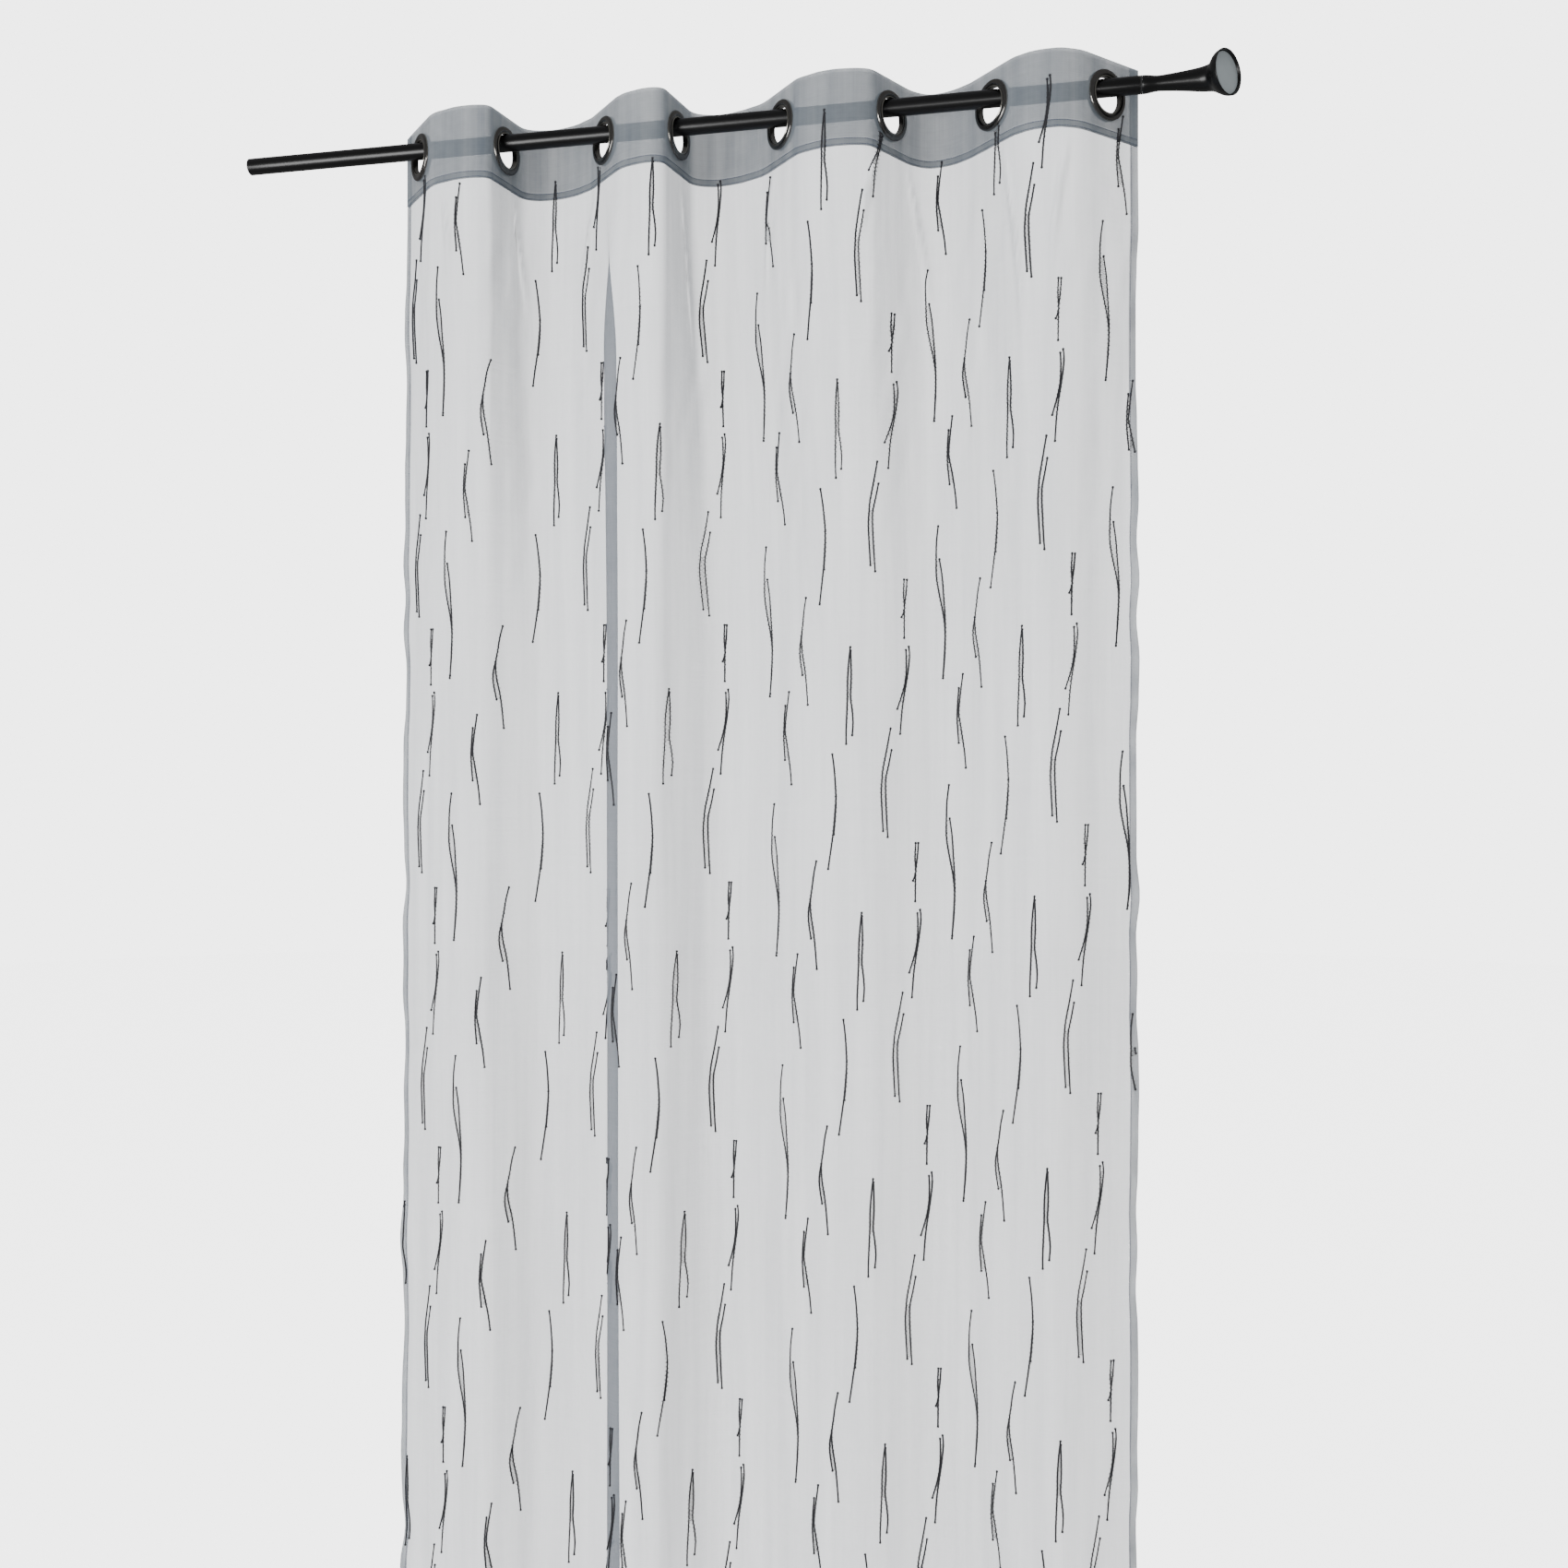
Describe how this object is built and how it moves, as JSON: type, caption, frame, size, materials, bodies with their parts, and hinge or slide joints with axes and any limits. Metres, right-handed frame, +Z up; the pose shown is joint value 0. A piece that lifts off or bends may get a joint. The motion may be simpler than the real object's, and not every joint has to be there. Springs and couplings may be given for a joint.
{
  "type": "window curtain on a rod",
  "caption": "Sheer eyelet curtain panel threaded on a round black rod that ends in a flared horn finial; the panel draws along the rod, swings about it, and the finial pulls off.",
  "frame": {"origin": "On the rod's axis, at the middle of the rod's length, between the brackets that would hold it.", "axes": "+X along the rod towards the finial, +Y from the room towards the window, +Z up."},
  "size_m": [1.2146, 0.0938, 2.4],
  "materials": {
    "black_lacquer": "glossy black lacquer on steel and cast metal",
    "grey_plate": "satin blue-grey",
    "plug_plastic": "moulded black plastic",
    "screw_zinc": "zinc plated",
    "black_nickel": "polished black nickel",
    "sheer_voile": "sheer blue-grey voile with sparse dark embroidery",
    "doubled_voile": "the same voile folded double and stitched",
    "header_stiffener": "translucent non-woven stiffening tape"
  },
  "bodies": {
    "rod": {"rod_tube": "black_lacquer"},
    "finial": {"finial_horn": "black_lacquer", "finial_face_plate": "grey_plate", "finial_plug": "plug_plastic", "finial_screw": "screw_zinc"},
    "curtain": {"header_band": "doubled_voile", "header_tape": "header_stiffener", "curtain_panel": "sheer_voile", "side_hem_left": "doubled_voile", "side_hem_right": "doubled_voile", "bottom_hem": "doubled_voile", "eyelet_8_front": "black_nickel", "eyelet_8_back": "black_nickel"},
    "eyelet_1": {"eyelet_1_front": "black_nickel", "eyelet_1_back": "black_nickel"},
    "eyelet_2": {"eyelet_2_front": "black_nickel", "eyelet_2_back": "black_nickel"},
    "eyelet_3": {"eyelet_3_front": "black_nickel", "eyelet_3_back": "black_nickel"},
    "eyelet_4": {"eyelet_4_front": "black_nickel", "eyelet_4_back": "black_nickel"},
    "eyelet_5": {"eyelet_5_front": "black_nickel", "eyelet_5_back": "black_nickel"},
    "eyelet_6": {"eyelet_6_front": "black_nickel", "eyelet_6_back": "black_nickel"},
    "eyelet_7": {"eyelet_7_front": "black_nickel", "eyelet_7_back": "black_nickel"}
  },
  "joints": [
    {"name": "finial_pull", "type": "slide", "parent": "rod", "child": "finial", "axis": [1, 0, 0], "range_m": [0, 0.035]},
    {"name": "curtain_swing", "type": "hinge", "parent": "rod", "child": "curtain", "pos_m": [0, 0, 0], "axis": [1, 0, 0], "range_deg": [-14, 14]},
    {"name": "curtain_draw", "type": "slide", "parent": "curtain", "child": "eyelet_1", "axis": [1, 0, 0], "range_m": [0, 0.483], "deforming": ["header_band", "header_tape", "curtain_panel", "side_hem_left", "side_hem_right", "bottom_hem"]},
    {"name": "eyelet_2_slide", "type": "slide", "parent": "curtain", "child": "eyelet_2", "axis": [1, 0, 0], "range_m": [0, 0.4191]},
    {"name": "eyelet_3_slide", "type": "slide", "parent": "curtain", "child": "eyelet_3", "axis": [1, 0, 0], "range_m": [0, 0.3448]},
    {"name": "eyelet_4_slide", "type": "slide", "parent": "curtain", "child": "eyelet_4", "axis": [1, 0, 0], "range_m": [0, 0.292]},
    {"name": "eyelet_5_slide", "type": "slide", "parent": "curtain", "child": "eyelet_5", "axis": [1, 0, 0], "range_m": [0, 0.2181]},
    {"name": "eyelet_6_slide", "type": "slide", "parent": "curtain", "child": "eyelet_6", "axis": [1, 0, 0], "range_m": [0, 0.1429]},
    {"name": "eyelet_7_slide", "type": "slide", "parent": "curtain", "child": "eyelet_7", "axis": [1, 0, 0], "range_m": [0, 0.0744]}
  ],
  "couplings": [
    {"joint": "eyelet_2_slide", "follows": "curtain_draw", "ratio": 0.86659},
    {"joint": "eyelet_3_slide", "follows": "curtain_draw", "ratio": 0.7129},
    {"joint": "eyelet_4_slide", "follows": "curtain_draw", "ratio": 0.60349},
    {"joint": "eyelet_5_slide", "follows": "curtain_draw", "ratio": 0.45051},
    {"joint": "eyelet_6_slide", "follows": "curtain_draw", "ratio": 0.29482},
    {"joint": "eyelet_7_slide", "follows": "curtain_draw", "ratio": 0.15298}
  ]
}
